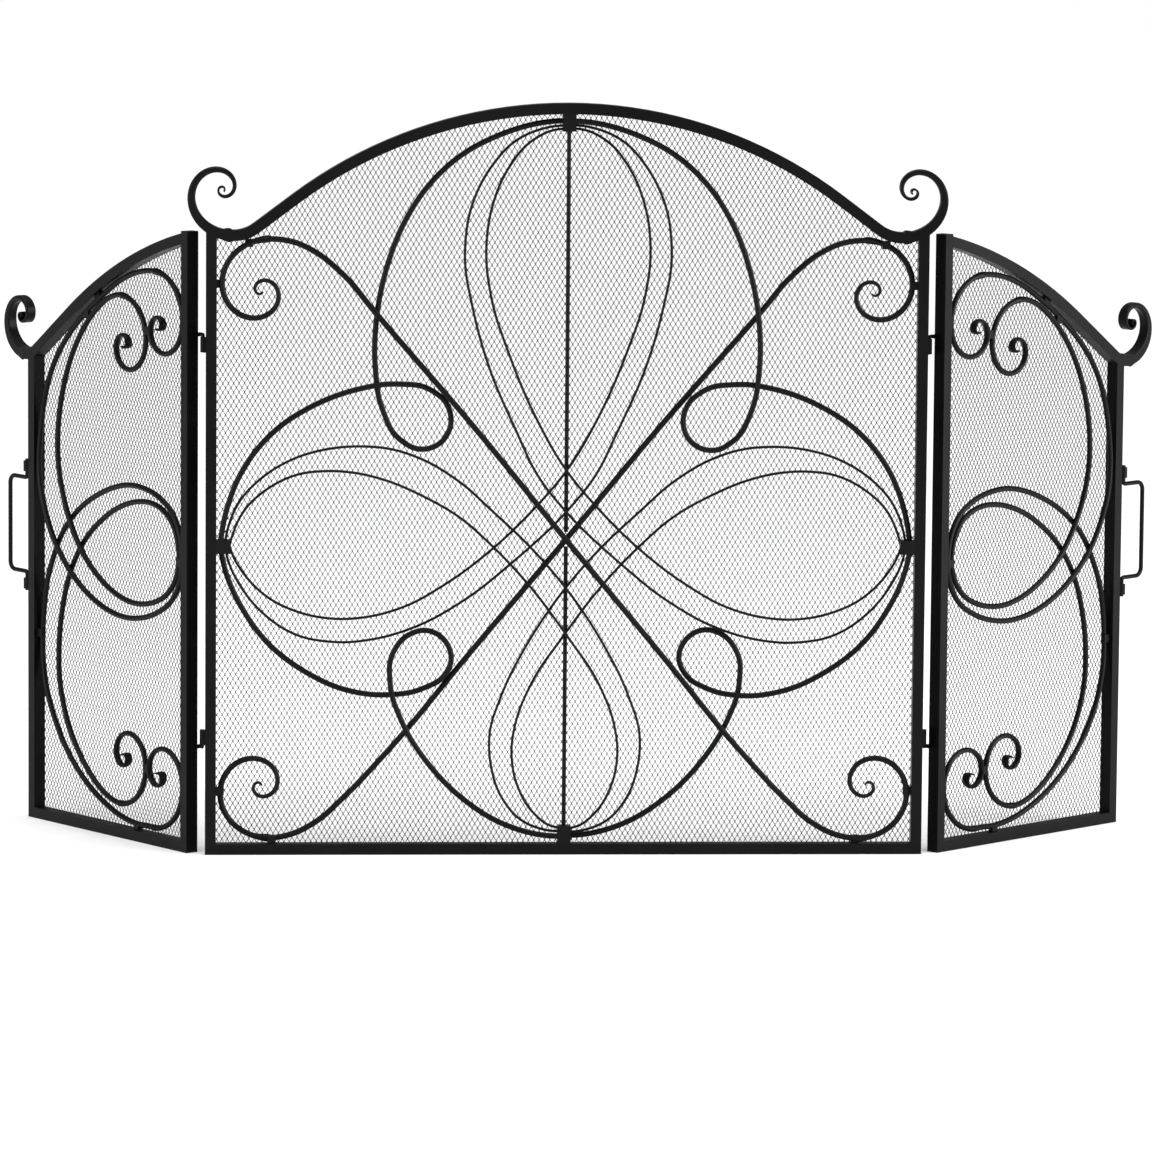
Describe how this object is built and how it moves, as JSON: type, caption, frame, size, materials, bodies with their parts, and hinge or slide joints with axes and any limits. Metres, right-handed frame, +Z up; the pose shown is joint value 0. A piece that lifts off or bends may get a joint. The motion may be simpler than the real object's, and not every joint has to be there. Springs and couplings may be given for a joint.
{
  "type": "fireplace screen",
  "caption": "Folding three-panel wrought-iron fireplace screen with an arched centre, scroll finials, looped rod scrollwork over expanded mesh, and swinging bail handles.",
  "frame": {"origin": "on the floor, under the middle of the centre panel's bottom rail", "axes": "+X along the centre panel to its right, +Y from the front to the back, where the side panels fold, +Z up"},
  "size_m": [1.3113, 0.3186, 0.838],
  "materials": {
    "frame": "satin black powder coat on wrought bar",
    "scrollwork": "satin black powder coat on bent round rod",
    "mesh": "satin black paint on expanded steel mesh",
    "hardware": "satin black powder coat on hinges, lugs and bails"
  },
  "bodies": {
    "centre_panel": {"bottom_rail": "frame", "collar_bottom": "scrollwork", "collar_left": "scrollwork", "collar_right": "scrollwork", "collar_top": "scrollwork", "diagonal_left": "scrollwork", "diagonal_right": "scrollwork", "finial_left": "frame", "finial_right": "frame", "hinge_barrels_left": "hardware", "hinge_barrels_right": "hardware", "loop_bottom_left": "scrollwork", "loop_bottom_right": "scrollwork", "loop_top_left": "scrollwork", "loop_top_right": "scrollwork", "mesh_centre": "mesh", "stile_left": "frame", "stile_right": "frame", "top_rail": "frame", "upright_lower": "scrollwork", "upright_upper": "scrollwork", "weld_tabs_centre": "scrollwork", "wire_bottom_inner_left": "scrollwork", "wire_bottom_inner_right": "scrollwork", "wire_bottom_outer_left": "scrollwork", "wire_bottom_outer_right": "scrollwork", "wire_top_inner_left": "scrollwork", "wire_top_inner_right": "scrollwork", "wire_top_outer_left": "scrollwork", "wire_top_outer_right": "scrollwork"},
    "left_panel": {"left_bottom_rail": "frame", "left_finial": "frame", "left_handle_lugs": "hardware", "left_hinge_pins": "hardware", "left_hinge_stile": "frame", "left_mesh": "mesh", "left_outer_stile": "frame", "left_scroll_inner": "scrollwork", "left_scroll_outer": "scrollwork", "left_top_rail": "frame", "left_weld_tabs": "scrollwork"},
    "right_panel": {"right_bottom_rail": "frame", "right_finial": "frame", "right_handle_lugs": "hardware", "right_hinge_pins": "hardware", "right_hinge_stile": "frame", "right_mesh": "mesh", "right_outer_stile": "frame", "right_scroll_inner": "scrollwork", "right_scroll_outer": "scrollwork", "right_top_rail": "frame", "right_weld_tabs": "scrollwork"},
    "left_handle": {"left_handle": "hardware"},
    "right_handle": {"right_handle": "hardware"}
  },
  "joints": [
    {"name": "left_panel_fold", "type": "hinge", "parent": "centre_panel", "child": "left_panel", "pos_m": [-0.403, 0.0101, 0.35], "axis": [0, 0, -1], "range_deg": [-55, 123]},
    {"name": "right_panel_fold", "type": "hinge", "parent": "centre_panel", "child": "right_panel", "pos_m": [0.403, 0.0101, 0.35], "axis": [0, 0, 1], "range_deg": [-43, 135]},
    {"name": "left_handle_swing", "type": "hinge", "parent": "left_panel", "child": "left_handle", "pos_m": [-0.60092, 0.26643, 0.3365], "axis": [0, 0, 1], "range_deg": [0, 90]},
    {"name": "right_handle_swing", "type": "hinge", "parent": "right_panel", "child": "right_handle", "pos_m": [0.64989, 0.21968, 0.3365], "axis": [0, 0, -1], "range_deg": [0, 90]}
  ]
}
